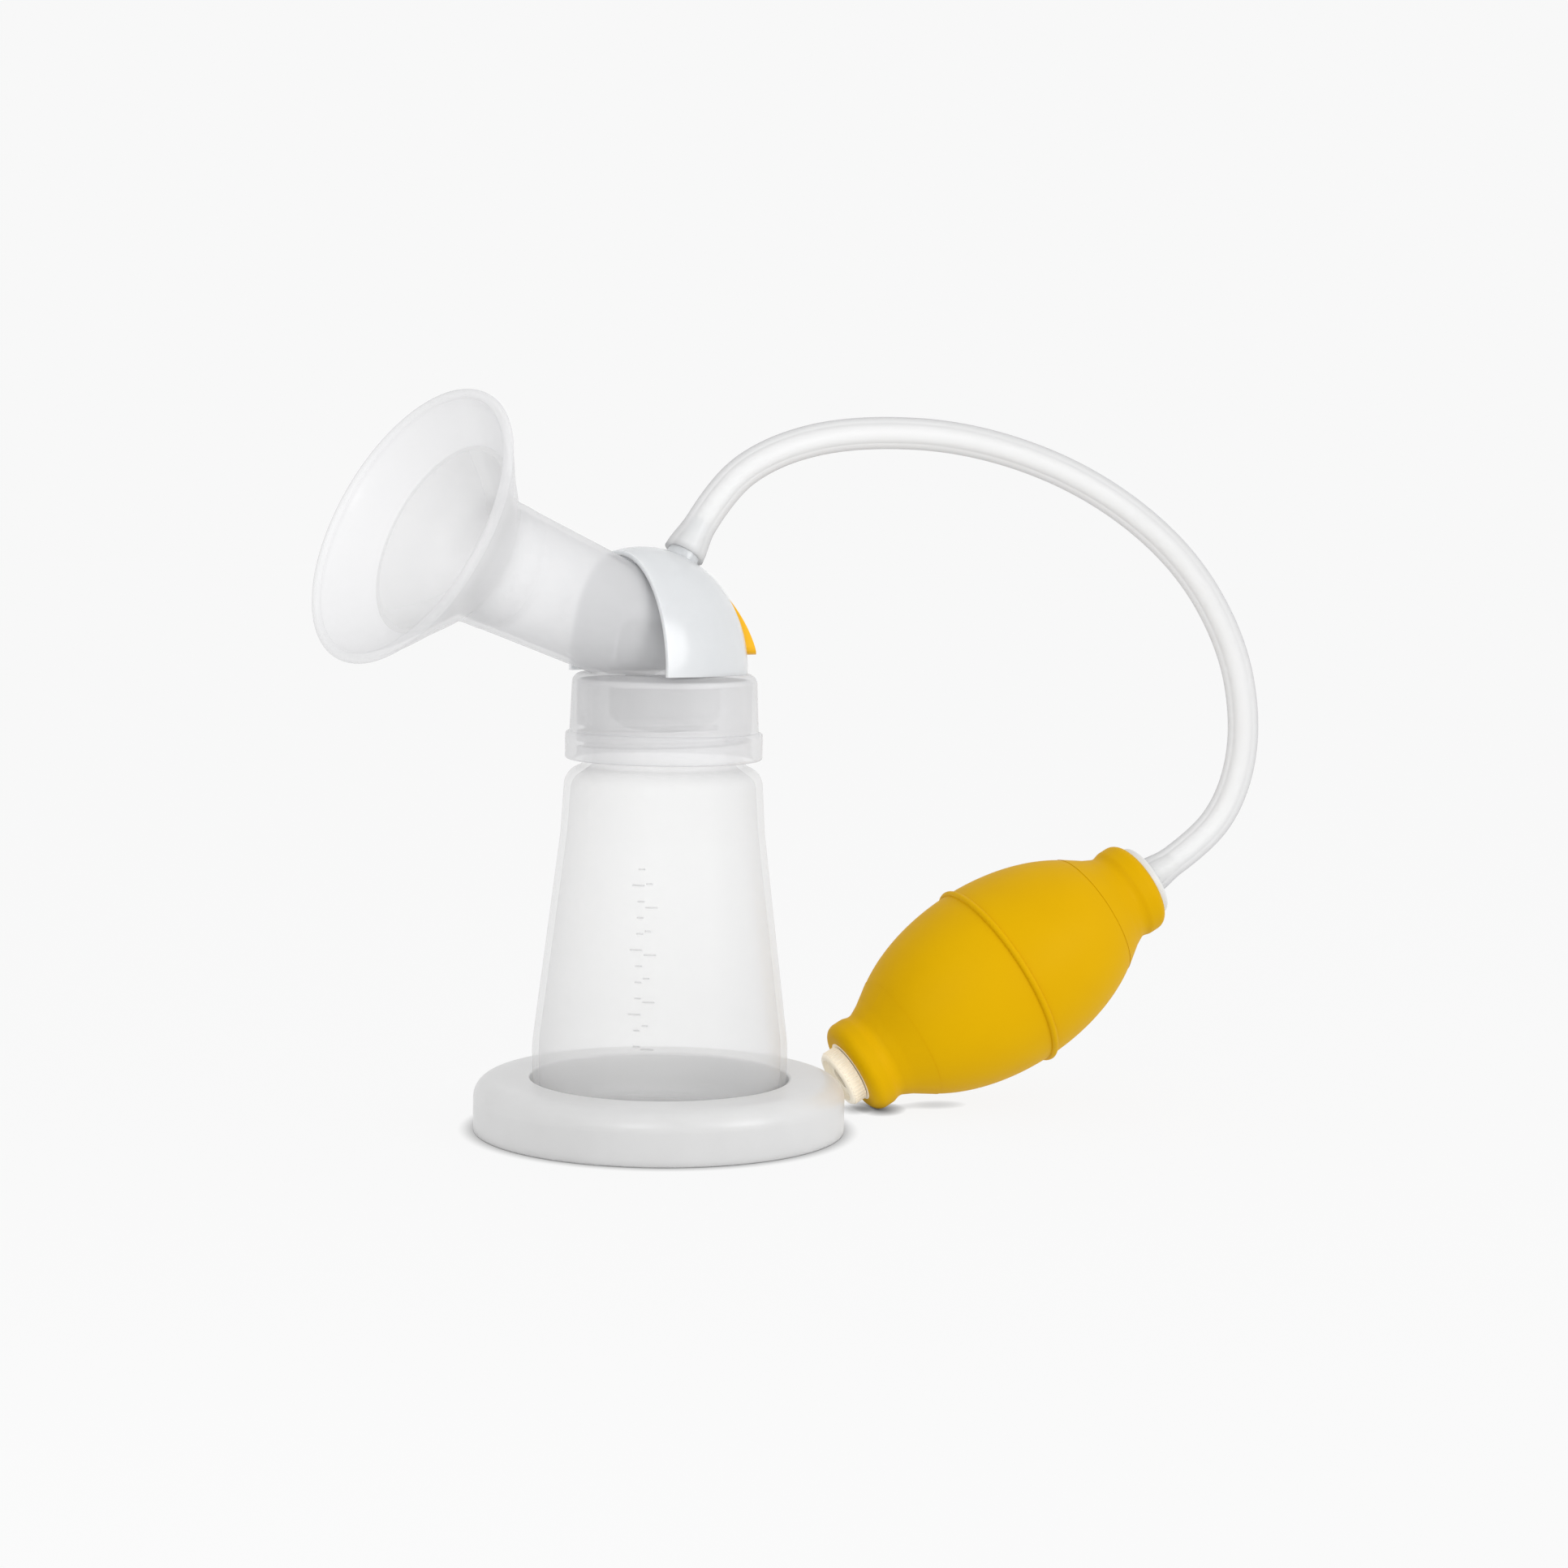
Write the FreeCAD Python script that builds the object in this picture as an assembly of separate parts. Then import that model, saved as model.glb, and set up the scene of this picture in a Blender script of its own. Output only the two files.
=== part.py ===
"""Manual breast pump with a squeeze bulb.

Millimetres, +Z up. The origin is on the bottle's axis, on the plane that the stand rests on.
The funnel points to -X and up, the release lever is on the +X side of the hood, and the hose
arches over to the squeeze bulb, which lies beside the stand.
"""
import FreeCAD, Part

import math
import os

from FreeCAD import Vector

# Driving dimensions ------------------------------------------------------------------------
STAND_RADIUS = 45.5
STAND_HEIGHT = 13.0
STAND_WALL = 1.8
STAND_FLOOR = 2.0

BOTTLE_RADIUS = 31.3
BOTTLE_WALL = 1.6
BOTTLE_BASE_Z = STAND_FLOOR
NECK_RADIUS = 18.9
NECK_TOP_Z = 109.0
THREAD_PITCH = 4.0
THREAD_TURNS = 1.75
THREAD_START_Z = 95.0

COLLAR_RADIUS = 23.0
COLLAR_TOP_RADIUS = 22.4
COLLAR_BORE = 21.2
COLLAR_TOP_Z = 112.0
COLLAR_PLATE = 1.5
COLLAR_BASE_Z = 91.0
FLANGE_RADIUS = 24.0
FLANGE_TOP_Z = 97.6
CHAMBER_RADIUS = 13.6
CHAMBER_TOP_Z = 125.5
BODY_WALL = 1.3

TUBE_TILT = 20.6
TUBE_AXIS_Z = 119.36
TUBE_START = 4.7
TUBE_START_RADIUS = 13.7
TUBE_END_RADIUS = 15.1
CUP_START = 50.0
CUP_TILT = 5.0
RIM_ALONG = 77.3
RIM_RADIUS = 34.4
RIM_BEAD = 1.2

HOOD_BACK = 28.1
HOOD_SIDE = 21.1
HOOD_RISE = 29.9
HOOD_CENTRE_X = -7.0
HOOD_FRONT_X = -14.2
HOOD_WALL = 1.1

HOSE_RADIUS = 4.0
HOSE_BORE = 2.5
HOSE_END_RADIUS = 5.1
HOSE_FLARE = 9.0

BULB_HALF = 46.5
BULB_RADIUS = 24.6
BULB_WALL = 2.2
BULB_CENTRE = Vector(91.8, -22.8, 33.0)
BULB_HEADING = -19.5
BULB_RISE = 29.9

FIT = 0.1      # radial clearance of pieces that slide or turn on each other
GAP = 0.4      # clearance round the release lever

os.makedirs("parts", exist_ok=True)
X = Vector(1, 0, 0)
Y = Vector(0, 1, 0)
Z = Vector(0, 0, 1)
ORIGIN = Vector(0, 0, 0)


# Geometry helpers --------------------------------------------------------------------------
def rounded_wire(points, radii, closed):
    """Straight runs through the points, with a tangent arc of the given radius at each corner."""
    count = len(points)
    starts = []
    ends = []
    mids = []
    for i, (point, radius) in enumerate(zip(points, radii)):
        if radius == 0 or (not closed and i in (0, count - 1)):
            starts.append(point)
            ends.append(point)
            mids.append(None)
            continue
        back = (points[i - 1] - point).normalize()
        ahead = (points[(i + 1) % count] - point).normalize()
        half = back.getAngle(ahead) / 2
        reach = radius / math.tan(half)
        bisector = (back + ahead).normalize()
        starts.append(point + back * reach)
        ends.append(point + ahead * reach)
        mids.append(point + bisector * (radius / math.sin(half) - radius))
    edges = []
    for i in range(count):
        if mids[i] is not None:
            edges.append(Part.Arc(starts[i], mids[i], ends[i]).toShape())
        following = (i + 1) % count
        if (closed or following) and ends[i].distanceToPoint(starts[following]) > 1e-6:
            edges.append(Part.LineSegment(ends[i], starts[following]).toShape())
    return Part.Wire(edges)


def turned(corners, axis=Z, origin=ORIGIN):
    """Solid of revolution about an axis, from (radius, height, corner radius) corners."""
    points = [Vector(radius, 0, height) for radius, height, _ in corners]
    wire = rounded_wire(points, [corner[2] for corner in corners], True)
    solid = Part.Face(wire).revolve(ORIGIN, Z, 360)
    return placed(solid, axis, origin)


def placed(shape, axis, origin):
    """The shape with its +Z turned to the axis and its origin moved."""
    shape.Placement = FreeCAD.Placement(origin, FreeCAD.Rotation(Z, axis)) * shape.Placement
    return shape


def rod(radius, start, end, end_radius=None):
    """Cylinder or cone between two points."""
    axis = end - start
    if end_radius is None or abs(end_radius - radius) < 1e-9:
        return Part.makeCylinder(radius, axis.Length, start, axis)
    return Part.makeCone(radius, end_radius, axis.Length, start, axis)


def block(x0, x1, y0, y1, z0, z1):
    return Part.makeBox(x1 - x0, y1 - y0, z1 - z0, Vector(x0, y0, z0))


def save(name, shape):
    assert shape.isValid(), name
    print("%-22s solids %d  volume %9.1f" % (name, len(shape.Solids), shape.Volume))
    shape.exportStep("parts/%s.step" % name)


def thread(radius, root, crest, start_z, wide, narrow):
    """Helical ridge on a cylinder: root and crest are distances from the axis."""
    helix = Part.makeHelix(THREAD_PITCH, THREAD_PITCH * THREAD_TURNS, radius)
    corners = [(root, -wide / 2), (crest, -narrow / 2), (crest, narrow / 2), (root, wide / 2)]
    section = Part.makePolygon([Vector(r, 0, z) for r, z in corners + corners[:1]])
    ridge = Part.Wire(helix).makePipeShell([section], True, True)
    ridge.translate(Vector(0, 0, start_z))
    return ridge


# Stand and bottle --------------------------------------------------------------------------
def bottle_stand():
    """Skirt and flat floor joined by a rounded top, with ribs below it and a cup for the bottle."""
    socket = BOTTLE_RADIUS + 0.5
    skirt = STAND_RADIUS - STAND_WALL
    ring = turned([
        (0, 0, 0), (socket + STAND_WALL, 0, 0), (socket + STAND_WALL, STAND_HEIGHT - STAND_WALL, 1),
        (skirt - 0.5, STAND_HEIGHT - STAND_WALL, 3), (skirt, 0, 0), (STAND_RADIUS, 0, 0.4),
        (STAND_RADIUS, STAND_HEIGHT, 5), (socket, STAND_HEIGHT, 0.6), (socket, STAND_FLOOR, 0),
        (0, STAND_FLOOR, 0),
    ])
    for i in range(6):
        rib = block(socket + 1, skirt + 0.5, -0.8, 0.8, 1.0, STAND_HEIGHT - STAND_WALL)
        ring = ring.fuse(rib.rotate(ORIGIN, Z, 60 * i + 30))
    return ring.removeSplitter()


def milk_bottle():
    """Cone with a rounded shoulder, a threaded neck and an open mouth."""
    base = BOTTLE_BASE_Z
    wall = BOTTLE_WALL
    inner_neck = NECK_RADIUS - 1.5
    shell = turned([
        (0, base, 0), (BOTTLE_RADIUS - 0.4, base, 3.5), (BOTTLE_RADIUS, 21, 30), (24.9, 73, 20),
        (24.0, 88.2, 5), (19.9, 89.6, 1), (19.9, 90.6, 0.4),
        (NECK_RADIUS, 91.4, 0), (NECK_RADIUS, NECK_TOP_Z, 0.5),
        (inner_neck, NECK_TOP_Z, 0.4), (inner_neck, 89.5, 2), (24.0 - wall, 86.0, 4), (24.9 - wall, 73, 20),
        (BOTTLE_RADIUS - wall, 21, 30), (BOTTLE_RADIUS - wall - 0.4, base + wall, 2.5), (0, base + wall, 0),
    ])
    ridge = thread(NECK_RADIUS, NECK_RADIUS - 0.4, NECK_RADIUS + 1.4, THREAD_START_Z, 1.8, 0.9)
    return shell.fuse(ridge)


def bottle_seal_ring():
    """Flat ring held up inside the collar, above the bottle's mouth."""
    inner = NECK_RADIUS - 2.0
    outer = COLLAR_BORE - 1.1
    top = COLLAR_TOP_Z - COLLAR_PLATE
    return turned([(inner, NECK_TOP_Z, 0.2), (outer, NECK_TOP_Z, 0.2), (outer, top, 0.2), (inner, top, 0.2)])


# Pump body: collar, chamber, tube and cup in one moulding --------------------------------------
def tube_direction(extra_tilt=0.0):
    tilt = math.radians(TUBE_TILT + extra_tilt)
    return Vector(-math.cos(tilt), 0, math.sin(tilt))


def tube_point(along):
    return Vector(0, 0, TUBE_AXIS_Z) + tube_direction() * along


def cup_ring(along, radius):
    """Circle round the tube's axis, turned upward the more the nearer it is to the rim."""
    share = max(0.0, (along - CUP_START) / (RIM_ALONG - CUP_START))
    return Part.Wire(Part.makeCircle(radius, tube_point(along), tube_direction(CUP_TILT * share)))


def cup_loft(rings):
    return Part.makeLoft([cup_ring(along, radius) for along, radius in rings], True, False)


CUP_OUTSIDE = [(CUP_START, TUBE_END_RADIUS), (54, 15.3), (57, 15.8), (59.5, 17.1), (62, 19.5), (66, 23.3),
               (70, 27.3), (74, 31.3), (RIM_ALONG, RIM_RADIUS - RIM_BEAD + 0.4)]
CUP_INSIDE = [(CUP_START, TUBE_END_RADIUS - BODY_WALL), (54, 13.95), (57, 14.2), (60, 15.4), (63, 18.3),
              (67, 22.3), (71, 26.3), (75, 30.3), (RIM_ALONG + 1.5, RIM_RADIUS - RIM_BEAD - 0.6)]
PORT_X = 6.0
PORT_RADIUS = 3.2
PORT_BORE = 2.2
PORT_TOP_Z = 132.5
SPIGOT_RADIUS = 11.0
SPIGOT_BORE = 9.6
SPIGOT_BASE_Z = 104.5


def pump_body():
    collar = turned([
        (0, COLLAR_BASE_Z, 0), (FLANGE_RADIUS, COLLAR_BASE_Z, 0.8), (FLANGE_RADIUS, FLANGE_TOP_Z, 0.8),
        (COLLAR_RADIUS, FLANGE_TOP_Z + 0.3, 0.3), (COLLAR_TOP_RADIUS, COLLAR_TOP_Z, 2.5),
        (0, COLLAR_TOP_Z, 0),
    ])
    plate_base = COLLAR_TOP_Z - COLLAR_PLATE
    bore = turned([
        (0, COLLAR_BASE_Z - 1, 0), (COLLAR_BORE + 0.6, COLLAR_BASE_Z - 1, 0),
        (COLLAR_BORE + 0.6, COLLAR_BASE_Z + 0.4, 0), (COLLAR_BORE, COLLAR_BASE_Z + 1.2, 0),
        (COLLAR_BORE, plate_base, 1.0), (0, plate_base, 0),
    ])
    chamber = turned([
        (0, COLLAR_TOP_Z - 1, 0), (CHAMBER_RADIUS, COLLAR_TOP_Z - 1, 0),
        (CHAMBER_RADIUS, CHAMBER_TOP_Z, 3), (0, CHAMBER_TOP_Z, 0),
    ])
    port_base = Vector(PORT_X, 0, CHAMBER_TOP_Z - 3)
    port_top = Vector(PORT_X, 0, PORT_TOP_Z)
    above_plate = block(-90, 40, -40, 40, plate_base + 0.01, 200)
    bead = Part.makeTorus(RIM_RADIUS - RIM_BEAD, RIM_BEAD, tube_point(RIM_ALONG), tube_direction(CUP_TILT))
    tube = rod(TUBE_START_RADIUS, tube_point(TUBE_START), tube_point(CUP_START), TUBE_END_RADIUS)
    outside = collar.fuse([chamber, rod(PORT_RADIUS, port_base, port_top), tube.common(above_plate),
                           cup_loft(CUP_OUTSIDE), bead])

    room = turned([
        (0, COLLAR_TOP_Z, 0), (CHAMBER_RADIUS - BODY_WALL, COLLAR_TOP_Z, 0),
        (CHAMBER_RADIUS - BODY_WALL, CHAMBER_TOP_Z - BODY_WALL, 2), (0, CHAMBER_TOP_Z - BODY_WALL, 0),
    ])
    above_floor = block(-90, 40, -40, 40, COLLAR_TOP_Z, 200)
    port_bore = rod(PORT_BORE, port_base - Z * 2, port_top + Z)
    lumen = rod(TUBE_START_RADIUS - BODY_WALL, tube_point(TUBE_START + BODY_WALL),
                tube_point(CUP_START), TUBE_END_RADIUS - BODY_WALL)
    body = outside.cut([bore, room, lumen.common(above_floor), cup_loft(CUP_INSIDE), port_bore])

    spigot = rod(SPIGOT_RADIUS, Vector(0, 0, SPIGOT_BASE_Z), Vector(0, 0, plate_base + 0.5))
    drain = rod(SPIGOT_BORE, Vector(0, 0, SPIGOT_BASE_Z - 1), Vector(0, 0, COLLAR_TOP_Z + 0.5))
    ridge = thread(COLLAR_BORE, COLLAR_BORE + 0.3, NECK_RADIUS + 0.5,
                   THREAD_START_Z - THREAD_PITCH / 2, 1.5, 0.8)
    return body.fuse(spigot).cut(drain).removeSplitter().fuse(ridge)


def milk_valve():
    """Soft cup pushed over the spigot, closed below by a domed flap with a slit."""
    top = COLLAR_TOP_Z - COLLAR_PLATE
    valve = turned([
        (0, 97.2, 0), (9.5, 98.6, 4), (13.4, 101.5, 2), (13.6, top - 1.6, 0.3), (14.3, top - 1.5, 0.2),
        (14.3, top, 0.3), (SPIGOT_RADIUS, top, 0), (SPIGOT_RADIUS, SPIGOT_BASE_Z, 0),
        (SPIGOT_BORE, SPIGOT_BASE_Z - 0.6, 0.5), (8.5, 99.9, 2), (0, 98.6, 0),
    ])
    return valve.cut(block(-4.5, 4.5, -0.15, 0.15, 90, 104))


SLEEVE_OUTSIDE = [(47, 13.45), (52, 13.6), (56, 13.8), (58.5, 14.2), (61, 15.9), (64, 19.0), (68.5, 23.5)]
SLEEVE_INSIDE = [(46, 12.3), (52, 12.2), (56, 12.2), (59, 13.2), (62, 15.8), (65.5, 19.5), (70, 24.2)]


def funnel_insert():
    """Soft cushion: a cone that lines the cup and a sleeve that runs down the tube."""
    return cup_loft(SLEEVE_OUTSIDE).cut(cup_loft(SLEEVE_INSIDE))


# Hood and release lever --------------------------------------------------------------------
NOZZLE_LEAN = 33.0
NOZZLE_BASE = Vector(4.7, 0, 140.0)
NOZZLE_NECK = 1.0
NOZZLE_RADIUS = 3.4
NOZZLE_TIP_RADIUS = 2.5
NOZZLE_LENGTH = 9.5
NOZZLE_BORE = 1.6
SOCKET_RADIUS = 4.9
SOCKET_BORE = 4.0
SOCKET_BASE_Z = 129.5
SOCKET_ROOF_Z = 133.5
VENT_Z = 131.3
VENT_BORE = 0.8
PAD_THICK = 1.0

LEVER_HALF = 11.5
LEVER_BASE_Z = 116.5
LEVER_TOP_Z = 131.5
LEVER_PROUD = 3.4
LEVER_DROP = 5.2
LEVER_TOP_HALF = 5.2
PIVOT = Vector(11.9, 0, 127.9)
PIVOT_RADIUS = 0.8
KNUCKLE_HALF = 1.2
LUG_INNER = 2.8
LUG_OUTER = 3.9


def nozzle_axis():
    lean = math.radians(NOZZLE_LEAN)
    return Vector(math.sin(lean), 0, math.cos(lean))


def dome(inset=0.0, shift=ORIGIN):
    """Ellipsoid of the hood, made smaller by the inset."""
    ball = Part.makeSphere(1.0)
    matrix = FreeCAD.Matrix()
    matrix.scale(HOOD_BACK - inset, HOOD_SIDE - inset, HOOD_RISE - inset)
    ball = ball.transformGeometry(matrix)
    ball.translate(Vector(HOOD_CENTRE_X, 0, COLLAR_TOP_Z + 0.6) + shift)
    return ball


def lever_window(grow):
    """The lever's outline seen from +X, as a block that runs through the back of the hood.

    A grown outline is also lower at the base, where the lever dips as it is pressed.
    """
    taper = (LEVER_HALF - LEVER_TOP_HALF) / (LEVER_TOP_Z - LEVER_BASE_Z)
    base = LEVER_BASE_Z - 3 * grow
    top = LEVER_TOP_Z + grow
    wide = LEVER_HALF + grow + taper * 3 * grow
    narrow = LEVER_TOP_HALF + grow - taper * grow
    sides = [(-wide, base), (wide, base), (narrow, top), (-narrow, top)]
    outline = rounded_wire([Vector(9, y, z) for y, z in sides], [2.0, 2.0, 3.0, 3.0], True)
    return Part.Face(outline).extrude(X * 16)


def hood():
    """Helmet with an open front, a window for the lever, a socket for the port and a hose nozzle."""
    axis = nozzle_axis()
    shoulder = NOZZLE_BASE + axis * NOZZLE_NECK
    region = block(HOOD_FRONT_X, 40, -30, 30, COLLAR_TOP_Z, 160)
    shell = dome().cut(dome(HOOD_WALL)).common(region).cut(lever_window(GAP))
    socket = rod(SOCKET_RADIUS, Vector(PORT_X, 0, SOCKET_BASE_Z), Vector(PORT_X, 0, 142)).common(dome(0.3))
    lugs = [block(PORT_X + 1, PIVOT.x + 1.5, y, y + LUG_OUTER - LUG_INNER, PIVOT.z - 1.5, SOCKET_BASE_Z + 2)
            .common(dome(HOOD_WALL + GAP)) for y in (LUG_INNER, -LUG_OUTER)]
    neck = rod(HOSE_RADIUS, NOZZLE_BASE - axis * 2, shoulder)
    stem = rod(NOZZLE_RADIUS, shoulder, shoulder + axis * NOZZLE_LENGTH, NOZZLE_TIP_RADIUS)
    body = shell.fuse([socket, neck, stem] + lugs)
    below_roof = Vector(PORT_X, 0, SOCKET_ROOF_Z)
    hollow = rod(SOCKET_BORE, Vector(PORT_X, 0, SOCKET_BASE_Z - 4), below_roof)
    duct = rod(NOZZLE_BORE, below_roof - Z, shoulder)
    outlet = rod(NOZZLE_BORE, shoulder - axis * 1.5, shoulder + axis * (NOZZLE_LENGTH + 1))
    vent = rod(VENT_BORE, Vector(PORT_X + 3, 0, VENT_Z), Vector(PORT_X + SOCKET_RADIUS + 1, 0, VENT_Z))
    pin_hole = rod(PIVOT_RADIUS, PIVOT - Y * 8, PIVOT + Y * 8)
    return body.cut([hollow, duct, outlet, vent, pin_hole])


def port_seal_ring():
    """O-ring between the body's port and the hood's socket."""
    return Part.makeTorus((PORT_RADIUS + SOCKET_BORE) / 2, 0.35, Vector(PORT_X, 0, 130.8), Z)


def release_lever():
    """Curved paddle that fills the window, with an arm inside that reaches the vent."""
    proud = dome(-LEVER_PROUD, Z * -LEVER_DROP)
    paddle = proud.cut(dome(HOOD_WALL)).common(lever_window(0))
    half = KNUCKLE_HALF
    pad_back = PORT_X + SOCKET_RADIUS + PAD_THICK
    knuckle = rod(1.6, PIVOT - Y * half, PIVOT + Y * half)
    web = block(PIVOT.x, 22, -half, half, PIVOT.z - 1.2, PIVOT.z + 1.0).common(dome(0.6))
    arm = block(pad_back, 20, -half, half, PIVOT.z, VENT_Z + 1.2).common(dome(HOOD_WALL + 2 * GAP))
    lever = paddle.fuse([knuckle, web, arm])
    return lever.cut(rod(PIVOT_RADIUS + 0.05, PIVOT - Y * 8, PIVOT + Y * 8))


def release_pad():
    """Soft pad on the lever's arm, closing the vent hole in the socket's wall."""
    face = PORT_X + SOCKET_RADIUS
    return rod(1.2, Vector(face + 0.02, 0, VENT_Z), Vector(face + PAD_THICK, 0, VENT_Z))


def release_pivot_pin():
    return rod(PIVOT_RADIUS, PIVOT - Y * (LUG_OUTER + 0.3), PIVOT + Y * (LUG_OUTER + 0.3))


def release_spring():
    """Torsion spring: a two-turn coil round the pin, between the knuckle and one lug."""
    wire_radius = 0.2
    coil_radius = 1.25
    helix = Part.makeHelix(0.45, 0.9, coil_radius)
    section = Part.Wire(Part.makeCircle(wire_radius, Vector(coil_radius, 0, 0), Y))
    coil = Part.Wire(helix).makePipeShell([section], True, True)
    return placed(coil, Y, PIVOT + Y * (KNUCKLE_HALF + 0.2 + wire_radius))


# Hose --------------------------------------------------------------------------------------
def bulb_axis():
    """Direction from the bulb's low end to its raised end."""
    heading = math.radians(BULB_HEADING)
    rise = math.radians(BULB_RISE)
    return Vector(math.cos(rise) * math.cos(heading), math.cos(rise) * math.sin(heading), math.sin(rise))


def on_bulb(along):
    return BULB_CENTRE + bulb_axis() * along


PLUG_FLANGE = 2.0
PLUG_FACE = BULB_HALF + PLUG_FLANGE
HOSE_ROUTE = [
    NOZZLE_BASE + nozzle_axis() * NOZZLE_NECK,
    NOZZLE_BASE + nozzle_axis() * (NOZZLE_NECK + 18.3),
    Vector(29, -3.8, 166.5),
    Vector(50, -10.2, 172),
    Vector(81, -20, 171.5),
    Vector(113, -30, 161.5),
    Vector(139, -39, 143),
    Vector(154.3, -44, 120),
    Vector(159, -45.7, 97.5),
    Vector(155.7, -44.9, 79),
    on_bulb(PLUG_FACE + 17.8),
    on_bulb(PLUG_FACE),
]


def route_radii(route):
    """Radius of the arc at each point: 0.45 of the shorter run over the tangent of half the turn."""
    radii = [0]
    for before, here, after in zip(route, route[1:], route[2:]):
        turn = (here - before).getAngle(after - here)
        shorter = min(before.distanceToPoint(here), here.distanceToPoint(after))
        radii.append(0.45 * shorter / math.tan(turn / 2))
    return radii + [0]


def hose():
    """Bent tube with its two ends stretched over the nozzles."""
    radii = route_radii(HOSE_ROUTE)
    path = rounded_wire(HOSE_ROUTE, radii, False)
    start, end = HOSE_ROUTE[0], HOSE_ROUTE[-1]
    first = (HOSE_ROUTE[1] - start).normalize()
    last = (HOSE_ROUTE[-2] - end).normalize()
    tubes = []
    for radius in (HOSE_RADIUS, HOSE_BORE):
        section = Part.Wire(Part.makeCircle(radius, start, first))
        tubes.append(path.makePipeShell([section], True, False))
    outside, inside = tubes
    for radius, tube in zip((HOSE_RADIUS, HOSE_BORE), tubes):
        print("hose tube length %.1f, volume over section x length %.4f"
              % (path.Length, tube.Volume / (math.pi * radius ** 2 * path.Length)))
    print("hose arc radii", [round(radius, 1) for radius in radii[1:-1]])
    flare_bore = HOSE_END_RADIUS - (HOSE_RADIUS - HOSE_BORE)
    for point, ahead in ((start, first), (end, last)):
        outside = outside.fuse(rod(HOSE_END_RADIUS, point, point + ahead * HOSE_FLARE, HOSE_RADIUS - 0.1))
        mouth = point - ahead * 0.01
        inside = inside.fuse(rod(flare_bore, mouth, point + ahead * (HOSE_FLARE + 1.5), HOSE_BORE - 0.1))
    return outside.cut(inside)


# Squeeze bulb and its valves ---------------------------------------------------------------
NECK_BORE = 8.2
NECK_OUTSIDE = 11.7
LIP_RADIUS = 12.4
LIP_WIDTH = 6.5
BULB_SEMI_AXIS = 41.5


def ellipsoid(radius, semi_axis):
    ball = Part.makeSphere(1.0)
    matrix = FreeCAD.Matrix()
    matrix.scale(radius, radius, semi_axis)
    return ball.transformGeometry(matrix)


def squeeze_bulb():
    """Rubber shell with a parting bead round the middle and a thick lip at each end."""
    belly = ellipsoid(BULB_RADIUS, BULB_SEMI_AXIS)
    inside = ellipsoid(BULB_RADIUS - BULB_WALL, BULB_SEMI_AXIS - BULB_WALL)
    bead = Part.makeTorus(BULB_RADIUS, 0.9, ORIGIN, Z)
    shell = belly.fuse(bead)
    for side in (-1, 1):
        neck = turned([
            (0, 30, 0), (17.0, 30.2, 0), (13.4, 35.6, 8), (NECK_OUTSIDE, 39.0, 3), (LIP_RADIUS, 41.2, 2.4),
            (LIP_RADIUS, BULB_HALF, 2.8), (0, BULB_HALF, 0),
        ], Z * side)
        shell = shell.fuse(neck)
    bore = rod(NECK_BORE, Z * -(BULB_HALF + 1), Z * (BULB_HALF + 1))
    return shell.cut([inside, bore])


def bulb_inlet_plug():
    """Flange and spigot in the raised neck, with a long tapered nozzle for the hose."""
    face = PLUG_FACE
    plug = turned([
        (0, 36.5, 0), (NECK_BORE, 36.5, 0.4), (NECK_BORE, BULB_HALF, 0), (9.7, BULB_HALF, 0.3),
        (9.7, face, 0.8), (NOZZLE_RADIUS, face, 0), (NOZZLE_TIP_RADIUS, face + HOSE_FLARE, 0.3),
        (0, face + HOSE_FLARE, 0),
    ])
    seat = rod(6.0, Z * 36, Z * 38.5)
    bore = rod(NOZZLE_BORE, Z * 36, Z * (face + HOSE_FLARE + 1))
    return plug.cut([seat, bore])


def inlet_valve_cage():
    """Cross-barred ring pressed into the plug's seat, which keeps the disc in."""
    ring = turned([(4.6, 35.5, 0), (6.0, 35.5, 0.3), (6.0, 36.6, 0), (4.6, 36.6, 0)])
    bar = block(-5.2, 5.2, -0.7, 0.7, 35.5, 36.4)
    return ring.fuse([bar, bar.copy().rotate(ORIGIN, Z, 90)])


def inlet_valve_disc():
    return rod(5.6, Z * 37.5, Z * 38.3)


def exhaust_valve_body():
    """Spigot in the low neck with a flange, a valve seat and a post for the knurled ring."""
    body = turned([
        (0, -37.0, 0), (NECK_BORE, -37.0, 0.4), (NECK_BORE, -BULB_HALF, 0), (5.0, -BULB_HALF, 0),
        (5.0, -BULB_HALF - 2.4, 0.4), (0, -BULB_HALF - 2.4, 0),
    ])
    chamber = rod(4.2, Z * -(BULB_HALF + 3), Z * -(BULB_HALF - 1.0))
    bore = rod(2.2, Z * -(BULB_HALF + 3), Z * -36)
    return body.cut([chamber, bore])


def exhaust_valve_disc():
    return rod(3.8, Z * -(BULB_HALF - 0.9), Z * -(BULB_HALF - 0.1))


def exhaust_knurled_ring():
    """Cap that turns on the post: fine ribs round its rim and an outlet in its dished face."""
    base = BULB_HALF + 0.2
    face = base + 4.2
    cap = turned([
        (0, -base, 0), (7.4, -base, 0.3), (7.4, -face, 1.0), (6.0, -face, 0.3), (5.6, -face + 1.3, 0.3),
        (0, -face + 1.3, 0),
    ])
    ribs = []
    count = 40
    for i in range(count):
        rib = rod(0.32, Vector(7.3, 0, -base - 0.2), Vector(7.3, 0, -face + 0.9))
        ribs.append(rib.rotate(ORIGIN, Z, 360 * i / count))
    post_room = rod(5.0 + FIT, Z * -(base - 1), Z * -(BULB_HALF + 2.5))
    outlet = rod(3.0, Z * -(base - 1), Z * -(face + 1))
    return cap.fuse(ribs).cut([post_room, outlet])


def on_the_bulb(build):
    return placed(build(), bulb_axis(), BULB_CENTRE)


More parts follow.
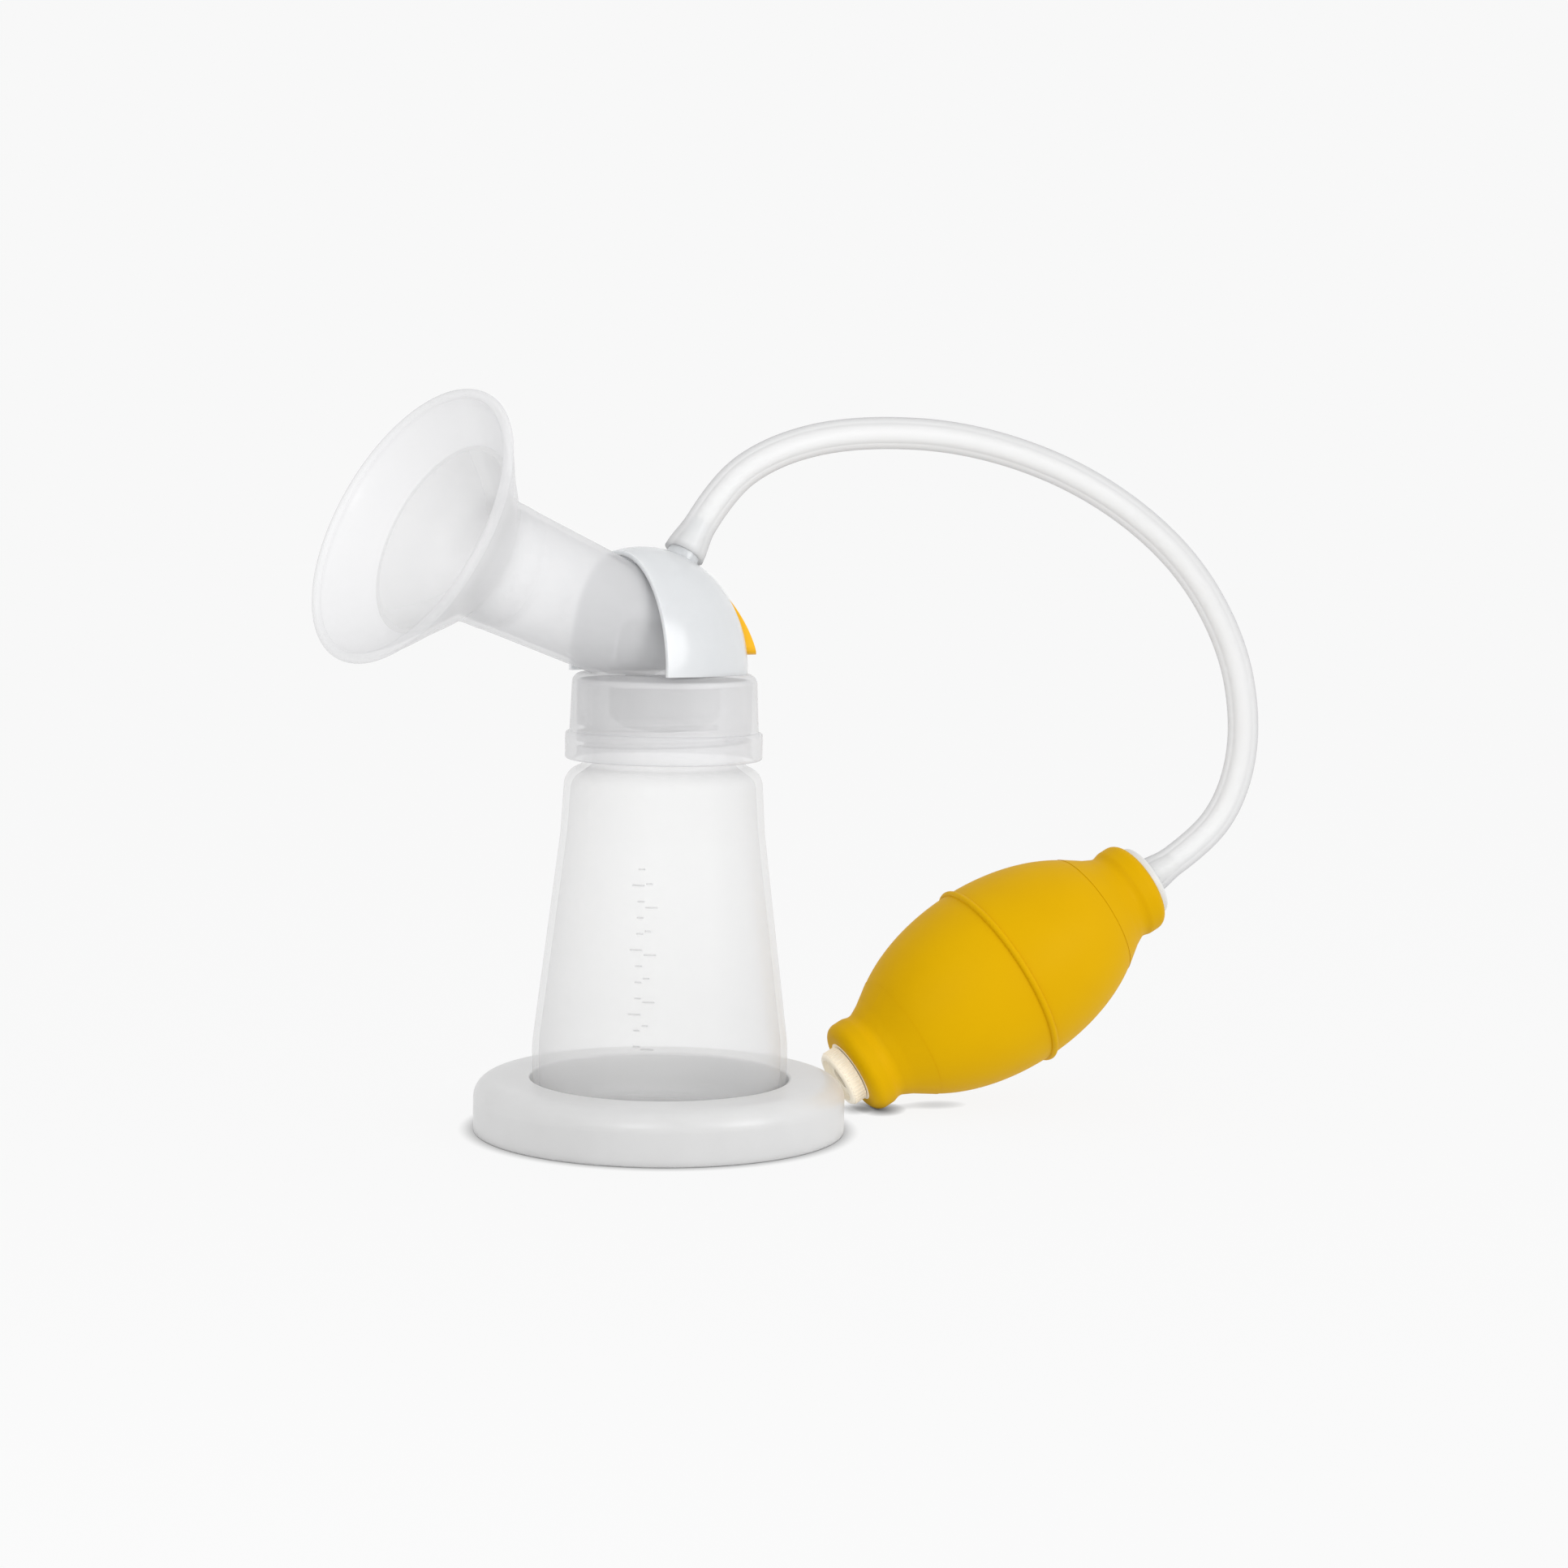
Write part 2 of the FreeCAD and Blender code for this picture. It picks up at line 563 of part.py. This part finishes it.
PUMP_NODES = [bottle_stand, milk_bottle, bottle_seal_ring, pump_body, milk_valve, funnel_insert, hood,
              port_seal_ring, release_lever, release_pad, release_pivot_pin, release_spring, hose]
BULB_NODES = [squeeze_bulb, bulb_inlet_plug, inlet_valve_cage, inlet_valve_disc, exhaust_valve_body,
              exhaust_valve_disc, exhaust_knurled_ring]
for build in PUMP_NODES:
    save(build.__name__, build())
for build in BULB_NODES:
    save(build.__name__, on_the_bulb(build))
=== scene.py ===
"""Visual model of the hand breast pump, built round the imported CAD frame. Metres, +Z up."""

import math

import bmesh
import bpy
from mathutils import Matrix, Vector


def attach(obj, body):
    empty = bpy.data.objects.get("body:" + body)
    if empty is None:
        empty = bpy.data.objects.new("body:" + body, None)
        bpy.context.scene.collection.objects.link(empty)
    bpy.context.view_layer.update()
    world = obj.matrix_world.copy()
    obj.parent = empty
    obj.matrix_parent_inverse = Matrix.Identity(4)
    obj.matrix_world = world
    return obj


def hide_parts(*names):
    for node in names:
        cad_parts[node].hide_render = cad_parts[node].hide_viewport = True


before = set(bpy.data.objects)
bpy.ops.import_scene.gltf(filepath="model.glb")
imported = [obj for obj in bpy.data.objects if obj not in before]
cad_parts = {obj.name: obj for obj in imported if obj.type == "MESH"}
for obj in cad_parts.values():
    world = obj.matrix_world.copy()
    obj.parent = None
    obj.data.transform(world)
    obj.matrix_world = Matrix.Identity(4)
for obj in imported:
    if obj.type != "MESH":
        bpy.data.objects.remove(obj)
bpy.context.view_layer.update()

# Camera and stage --------------------------------------------------------------------------
CAMERA_PLACE = (-0.4162, -0.5551, 0.1444)
CAMERA_LOOK = Vector((0.6309, 0.7712, -0.0848))
CAMERA_ROLL = 0.017
SENSOR_MM = 36.0
LENS_MM = 65.6
WORLD = 0.939
FLOOR_RADIUS = 12.0
FLOOR_SHADE = 0.05
# How far the painted contact shadow on the floor reaches from what stands on it.
CONTACT_SHADOW_REACH = 0.004
LIGHTS = [  # name, place, aim, diameter, watts
    ("key", (0.25, -0.85, 0.35), (0.02, 0, 0.08), 0.5, 2.6),
    ("fill", (-0.6, -0.4, 0.5), (0.05, 0, 0.08), 0.6, 0.3),
    ("funnel", (-0.33, -0.27, 0.2), (-0.005, 0, 0.12), 0.12, 0.3),
]


def make_camera():
    """Camera at the photograph's angle: its place, where it looks and how far it is rolled."""
    data = bpy.data.cameras.new("camera")
    data.sensor_width = SENSOR_MM
    data.lens = LENS_MM
    data.clip_start = 0.01
    data.clip_end = 60.0
    camera = bpy.data.objects.new("camera", data)
    bpy.context.collection.objects.link(camera)
    turn = CAMERA_LOOK.to_track_quat("-Z", "Y").to_matrix() @ Matrix.Rotation(CAMERA_ROLL, 3, "Z")
    camera.matrix_world = Matrix.Translation(CAMERA_PLACE) @ turn.to_4x4()
    bpy.context.scene.camera = camera


def make_stage():
    """Pale world, and a floor that glows as brightly, less so right beside what stands on it: a painted
    contact shadow.
    """
    bm = bmesh.new()
    bmesh.ops.create_circle(bm, cap_ends=True, radius=FLOOR_RADIUS, segments=96)
    mesh = bpy.data.meshes.new("floor")
    bm.to_mesh(mesh)
    bm.free()
    floor = bpy.data.objects.new("floor", mesh)
    bpy.context.collection.objects.link(floor)
    material = bpy.data.materials.new("floor")
    material.use_nodes = True
    tree = material.node_tree
    shader = tree.nodes["Principled BSDF"]
    shader.inputs["Base Color"].default_value = (FLOOR_SHADE, FLOOR_SHADE, FLOOR_SHADE, 1)
    shader.inputs["Roughness"].default_value = 1.0
    shader.inputs["Specular IOR Level"].default_value = 0.0
    shader.inputs["Emission Color"].default_value = (1, 1, 1, 1)
    # Painted contact shadow: ambient occlusion dims the floor's glow close to what stands on it.
    near = tree.nodes.new("ShaderNodeAmbientOcclusion")
    near.inputs["Distance"].default_value = CONTACT_SHADOW_REACH
    glow = tree.nodes.new("ShaderNodeMath")
    glow.operation = "MULTIPLY"
    glow.inputs[1].default_value = WORLD * (1 - FLOOR_SHADE)
    tree.links.new(near.outputs["AO"], glow.inputs[0])
    tree.links.new(glow.outputs["Value"], shader.inputs["Emission Strength"])
    mesh.materials.append(material)

    world = bpy.data.worlds.new("world")
    bpy.context.scene.world = world
    world.use_nodes = True
    background = world.node_tree.nodes["Background"]
    background.inputs["Color"].default_value = (WORLD, WORLD, WORLD, 1)
    background.inputs["Strength"].default_value = 1.0
    bpy.context.scene.view_settings.view_transform = "Standard"


def area_light(name, place, aim, diameter, watts):
    data = bpy.data.lights.new(name, "AREA")
    data.shape = "DISK"
    data.size = diameter
    data.energy = watts
    light = bpy.data.objects.new(name, data)
    bpy.context.collection.objects.link(light)
    direction = (Vector(aim) - Vector(place)).normalized()
    turn = direction.to_track_quat("-Z", "Y").to_matrix()
    light.matrix_world = Matrix.Translation(place) @ turn.to_4x4()


# Hose --------------------------------------------------------------------------------------
HOSE_RADIUS = 0.004
HOSE_BORE = 0.0025
HOSE_END_RADIUS = 0.0051
HOSE_FLARE = 0.009
HOSE_RESOLUTION = 16
HOSE_SEGMENTS = 48
NOZZLE_AXIS = Vector((math.sin(math.radians(33)), 0, math.cos(math.radians(33))))
NOZZLE_FACE = Vector((0.0047, 0, 0.140)) + NOZZLE_AXIS * 0.001
BULB_HEADING = math.radians(-19.5)
BULB_RISE = math.radians(29.9)
BULB_AXIS = Vector((math.cos(BULB_RISE) * math.cos(BULB_HEADING),
                    math.cos(BULB_RISE) * math.sin(BULB_HEADING), math.sin(BULB_RISE)))
BULB_CENTRE = Vector((0.0918, -0.0228, 0.0330))
PLUG_FACE = 0.0485
HOSE_ROUTE = [
    NOZZLE_FACE,
    NOZZLE_FACE + NOZZLE_AXIS * 0.0183,
    Vector((0.029, -0.0038, 0.1665)),
    Vector((0.050, -0.0102, 0.1720)),
    Vector((0.081, -0.0200, 0.1715)),
    Vector((0.113, -0.0300, 0.1615)),
    Vector((0.139, -0.0390, 0.1430)),
    Vector((0.1543, -0.0440, 0.1200)),
    Vector((0.159, -0.0457, 0.0975)),
    Vector((0.1557, -0.0449, 0.0790)),
    BULB_CENTRE + BULB_AXIS * (PLUG_FACE + 0.0178),
    BULB_CENTRE + BULB_AXIS * PLUG_FACE,
]


def spline_points(route, resolution):
    """Points along the smooth line that the route's NURBS spline gives."""
    curve = bpy.data.curves.new("route", "CURVE")
    curve.dimensions = "3D"
    curve.resolution_u = resolution
    spline = curve.splines.new("NURBS")
    spline.points.add(len(route) - 1)
    for point, place in zip(spline.points, route):
        point.co = (*place, 1.0)
    spline.order_u = 3
    spline.use_endpoint_u = True
    holder = bpy.data.objects.new("route", curve)
    mesh = bpy.data.meshes.new_from_object(holder)
    points = [vertex.co.copy() for vertex in mesh.vertices]
    bpy.data.objects.remove(holder)
    bpy.data.curves.remove(curve)
    bpy.data.meshes.remove(mesh)
    return points


def swept(name, points, profile, segments):
    """Closed tube wall along the points. profile gives (outer, inner) radius from the distance run."""
    distances = [0.0]
    for before, here in zip(points, points[1:]):
        distances.append(distances[-1] + (here - before).length)
    whole = distances[-1]
    bm = bmesh.new()
    tangent = (points[1] - points[0]).normalized()
    side = tangent.cross(Vector((0, 1, 0))).normalized()
    loops = {0: [], 1: []}
    for i, place in enumerate(points):
        ahead = points[min(i + 1, len(points) - 1)] - points[max(i - 1, 0)]
        ahead.normalize()
        side = (side - ahead * side.dot(ahead)).normalized()
        other = ahead.cross(side)
        for wall, radius in enumerate(profile(distances[i], whole)):
            ring = []
            for k in range(segments):
                angle = 2 * math.pi * k / segments
                spoke = side * math.cos(angle) + other * math.sin(angle)
                ring.append(bm.verts.new(place + spoke * radius))
            loops[wall].append(ring)
    for wall, rings in loops.items():
        for ring, following in zip(rings, rings[1:]):
            for k in range(segments):
                corners = [ring[k], ring[(k + 1) % segments], following[(k + 1) % segments], following[k]]
                bm.faces.new(corners if wall == 0 else corners[::-1])
    for outer, inner, flip in ((loops[0][0], loops[1][0], True), (loops[0][-1], loops[1][-1], False)):
        for k in range(segments):
            corners = [outer[k], outer[(k + 1) % segments], inner[(k + 1) % segments], inner[k]]
            bm.faces.new(corners[::-1] if flip else corners)
    bmesh.ops.recalc_face_normals(bm, faces=bm.faces)
    return mesh_object(name, bm)


def mesh_object(name, bm):
    """Smooth-shaded object made from the mesh being built, which is used up."""
    mesh = bpy.data.meshes.new(name)
    bm.to_mesh(mesh)
    bm.free()
    mesh.shade_smooth()
    obj = bpy.data.objects.new(name, mesh)
    bpy.context.collection.objects.link(obj)
    return obj


def hose_profile(run, whole):
    """Wall radii: the two ends are stretched over their nozzles."""
    edge = min(run, whole - run)
    share = max(0.0, 1.0 - edge / HOSE_FLARE)
    smooth = share * share * (3 - 2 * share)
    grow = (HOSE_END_RADIUS - HOSE_RADIUS) * smooth
    return HOSE_RADIUS + grow, HOSE_BORE + grow


def make_hose(material):
    points = spline_points(HOSE_ROUTE, HOSE_RESOLUTION)
    hose = swept("hose_tube", points, hose_profile, HOSE_SEGMENTS)
    hose.data.materials.append(material)
    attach(hose, "hood")
    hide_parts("hose")



# Volume marks on the bottle -------------------------------------------------------------------
MARK_ANGLE = math.radians(224.5)
MARK_PROUD = 0.00015
MARK_TALL = 0.00035
MARK_SHORT = 0.0017
MARK_LONG = 0.0031
MARK_FROM_LINE = 0.0002
BAR_STEPS = 6
# Height and radius of the line that the marks follow. It was read off the photograph's outline and
# runs up to about 0.5 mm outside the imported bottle's wall, so most bars stand clear of the wall.
BOTTLE_CONE = [(0.022, 0.0313), (0.0305, 0.0306), (0.0385, 0.0297), (0.0465, 0.0287), (0.0544, 0.0275),
               (0.0624, 0.0263), (0.0704, 0.0252)]


def bottle_radius(height):
    """Radius of the line that the marks follow, at a height between its ends."""
    for (low, wide), (high, narrow) in zip(BOTTLE_CONE, BOTTLE_CONE[1:]):
        if height <= high:
            return wide + (narrow - wide) * (height - low) / (high - low)
    return BOTTLE_CONE[-1][1]


def add_bar(bm, height, start, end):
    """Bar round the bottle from one arc distance to the other, measured from the marks' line."""
    corners = []
    for i in range(BAR_STEPS + 1):
        along = start + (end - start) * i / BAR_STEPS
        for z, proud in ((-1, -1), (1, -1), (1, 1), (-1, 1)):
            level = height + z * MARK_TALL / 2
            radius = bottle_radius(level) + proud * MARK_PROUD
            angle = MARK_ANGLE + along / bottle_radius(height)
            corners.append(bm.verts.new((radius * math.cos(angle), radius * math.sin(angle), level)))
    for i in range(BAR_STEPS):
        near, far = corners[4 * i:4 * i + 4], corners[4 * i + 4:4 * i + 8]
        for k in range(4):
            bm.faces.new((near[k], near[(k + 1) % 4], far[(k + 1) % 4], far[k]))
    bm.faces.new(corners[:4])
    bm.faces.new(corners[-4:])


def make_marks(material):
    """Two rows of bars, one on each side of an upright line, with steps of different size."""
    bm = bmesh.new()
    for side, low, step, count, long_ones in ((-1, 0.0256, 0.00375, 12, (2, 6, 10)),
                                              (1, 0.0250, 0.0055, 8, (0, 2, 4, 6))):
        for i in range(count):
            length = MARK_LONG if i in long_ones else MARK_SHORT
            near, far = sorted((side * MARK_FROM_LINE, side * length))
            add_bar(bm, low + i * step, near, far)
    bmesh.ops.recalc_face_normals(bm, faces=bm.faces)
    marks = mesh_object("volume_marks", bm)
    marks.data.shade_flat()
    marks.data.materials.append(material)
    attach(marks, "bottle")


# Materials ---------------------------------------------------------------------------------
def noise_bump(tree, shader, scale, strength, distance):
    """Fine unevenness of the surface."""
    place = tree.nodes.new("ShaderNodeTexCoord")
    noise = tree.nodes.new("ShaderNodeTexNoise")
    noise.inputs["Scale"].default_value = scale
    noise.inputs["Detail"].default_value = 4.0
    bump = tree.nodes.new("ShaderNodeBump")
    bump.inputs["Strength"].default_value = strength
    bump.inputs["Distance"].default_value = distance
    tree.links.new(place.outputs["Object"], noise.inputs["Vector"])
    tree.links.new(noise.outputs["Fac"], bump.inputs["Height"])
    tree.links.new(bump.outputs["Normal"], shader.inputs["Normal"])


def mottled(tree, scale, low, high):
    """Colour that drifts between two near shades."""
    place = tree.nodes.new("ShaderNodeTexCoord")
    noise = tree.nodes.new("ShaderNodeTexNoise")
    noise.inputs["Scale"].default_value = scale
    noise.inputs["Detail"].default_value = 3.0
    ramp = tree.nodes.new("ShaderNodeValToRGB")
    ramp.color_ramp.elements[0].position = 0.35
    ramp.color_ramp.elements[0].color = (*low, 1)
    ramp.color_ramp.elements[1].position = 0.65
    ramp.color_ramp.elements[1].color = (*high, 1)
    tree.links.new(place.outputs["Object"], noise.inputs["Vector"])
    tree.links.new(noise.outputs["Fac"], ramp.inputs["Fac"])
    return ramp.outputs["Color"]


def new_material(name, roughness, specular):
    material = bpy.data.materials.new(name)
    material.use_nodes = True
    shader = material.node_tree.nodes["Principled BSDF"]
    shader.inputs["Roughness"].default_value = roughness
    shader.inputs["Specular IOR Level"].default_value = specular
    return material, material.node_tree, shader


def solid_plastic(name, low, high, roughness=0.3, specular=0.5, scale=60, bump=0.05, milky=0.0):
    """Opaque moulded plastic or rubber. A milky one scatters light through its thin wall."""
    material, tree, shader = new_material(name, roughness, specular)
    shader.inputs["Subsurface Weight"].default_value = milky
    shader.inputs["Subsurface Radius"].default_value = (1, 1, 1)
    shader.inputs["Subsurface Scale"].default_value = 0.004
    tree.links.new(mottled(tree, scale, low, high), shader.inputs["Base Color"])
    noise_bump(tree, shader, scale * 12, bump, 0.0002)
    return material


def clear_plastic(name, facing, edge, facing_alpha, edge_alpha, blend=0.4, roughness=0.25, specular=0.2):
    """Translucent plastic: more colour and less see-through where the surface turns away.

    Light from the lamps passes straight through to what is inside.
    """
    material, tree, shader = new_material(name, roughness, specular)
    weight = tree.nodes.new("ShaderNodeLayerWeight")
    weight.inputs["Blend"].default_value = blend
    mix = tree.nodes.new("ShaderNodeMix")
    mix.data_type = "RGBA"
    drift = mottled(tree, 30, [0.985 * c for c in facing], facing)
    tree.links.new(drift, mix.inputs["A"])
    mix.inputs["B"].default_value = (*edge, 1)
    tree.links.new(weight.outputs["Facing"], mix.inputs["Factor"])
    tree.links.new(mix.outputs["Result"], shader.inputs["Base Color"])
    fade = tree.nodes.new("ShaderNodeMapRange")
    fade.inputs["To Min"].default_value = facing_alpha
    fade.inputs["To Max"].default_value = edge_alpha
    tree.links.new(weight.outputs["Facing"], fade.inputs["Value"])
    tree.links.new(fade.outputs["Result"], shader.inputs["Alpha"])
    path = tree.nodes.new("ShaderNodeLightPath")
    clear = tree.nodes.new("ShaderNodeBsdfTransparent")
    choice = tree.nodes.new("ShaderNodeMixShader")
    tree.links.new(path.outputs["Is Shadow Ray"], choice.inputs["Fac"])
    tree.links.new(shader.outputs["BSDF"], choice.inputs[1])
    tree.links.new(clear.outputs["BSDF"], choice.inputs[2])
    tree.links.new(choice.outputs["Shader"], tree.nodes["Material Output"].inputs["Surface"])
    return material


def paint(node, material):
    """Gives a CAD node's object this material in each of its slots."""
    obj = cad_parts[node]
    for slot in obj.material_slots:
        slot.material = material


BOTTLE_PLASTIC = clear_plastic("bottle_plastic", (0.78, 0.78, 0.78), (0.55, 0.55, 0.56), 0.20, 0.5, 0.2)
# The volume marks are real raised bars moulded in the bottle's own plastic; their darker, less see-through
# colour is painted shade standing in for the shade at the bars' small edges.
MARK_PLASTIC = clear_plastic("mark_plastic", (0.55, 0.55, 0.55), (0.5, 0.5, 0.5), 0.35, 0.6)
BODY_PLASTIC = clear_plastic("body_plastic", (0.75, 0.75, 0.76), (0.58, 0.58, 0.59), 0.32, 0.6, 0.3)
INSERT_SILICONE = clear_plastic("insert_silicone", (0.72, 0.72, 0.72), (0.66, 0.66, 0.66), 0.25, 0.45,
                                roughness=0.4)
HOSE_VINYL = clear_plastic("hose_vinyl", (0.82, 0.82, 0.82), (0.42, 0.42, 0.43), 0.42, 0.85, roughness=0.3,
                           specular=0.1)
SEAL_SILICONE = clear_plastic("seal_silicone", (0.84, 0.84, 0.84), (0.7, 0.7, 0.7), 0.4, 0.8, roughness=0.4)
VALVE_SILICONE = clear_plastic("valve_silicone", (0.88, 0.88, 0.87), (0.8, 0.8, 0.8), 0.08, 0.3,
                               roughness=0.5)
STAND_PLASTIC = solid_plastic("stand_plastic", (0.57, 0.57, 0.57), (0.59, 0.59, 0.59), 0.32, milky=0.7)
HOOD_PLASTIC = solid_plastic("hood_plastic", (0.585, 0.60, 0.615), (0.605, 0.62, 0.635), 0.18, milky=0.9)
LEVER_PLASTIC = solid_plastic("lever_plastic", (0.80, 0.42, 0.01), (0.82, 0.44, 0.015), 0.3, 0.2)
BULB_RUBBER = solid_plastic("bulb_rubber", (0.60, 0.335, 0.0), (0.63, 0.36, 0.0), 0.5, 0.04, 25, 0.08)
PLUG_PLASTIC = solid_plastic("plug_plastic", (0.63, 0.63, 0.62), (0.66, 0.66, 0.65), 0.35)
RING_PLASTIC = solid_plastic("ring_plastic", (0.95, 0.86, 0.70), (0.98, 0.90, 0.74), 0.4)
STEEL = solid_plastic("steel", (0.50, 0.50, 0.52), (0.56, 0.56, 0.58), 0.3)

STEEL.node_tree.nodes["Principled BSDF"].inputs["Metallic"].default_value = 1.0

NODE_MATERIALS = {
    "bottle_stand": STAND_PLASTIC,
    "milk_bottle": BOTTLE_PLASTIC,
    "bottle_seal_ring": SEAL_SILICONE,
    "pump_body": BODY_PLASTIC,
    "milk_valve": VALVE_SILICONE,
    "funnel_insert": INSERT_SILICONE,
    "hood": HOOD_PLASTIC,
    "port_seal_ring": SEAL_SILICONE,
    "release_lever": LEVER_PLASTIC,
    "release_pad": SEAL_SILICONE,
    "release_pivot_pin": STEEL,
    "release_spring": STEEL,
    "squeeze_bulb": BULB_RUBBER,
    "bulb_inlet_plug": PLUG_PLASTIC,
    "inlet_valve_cage": PLUG_PLASTIC,
    "inlet_valve_disc": SEAL_SILICONE,
    "exhaust_valve_body": RING_PLASTIC,
    "exhaust_valve_disc": SEAL_SILICONE,
    "exhaust_knurled_ring": RING_PLASTIC,
}

make_camera()
make_stage()
for light in LIGHTS:
    area_light(*light)
for node, material in NODE_MATERIALS.items():
    paint(node, material)
make_hose(HOSE_VINYL)
make_marks(MARK_PLASTIC)
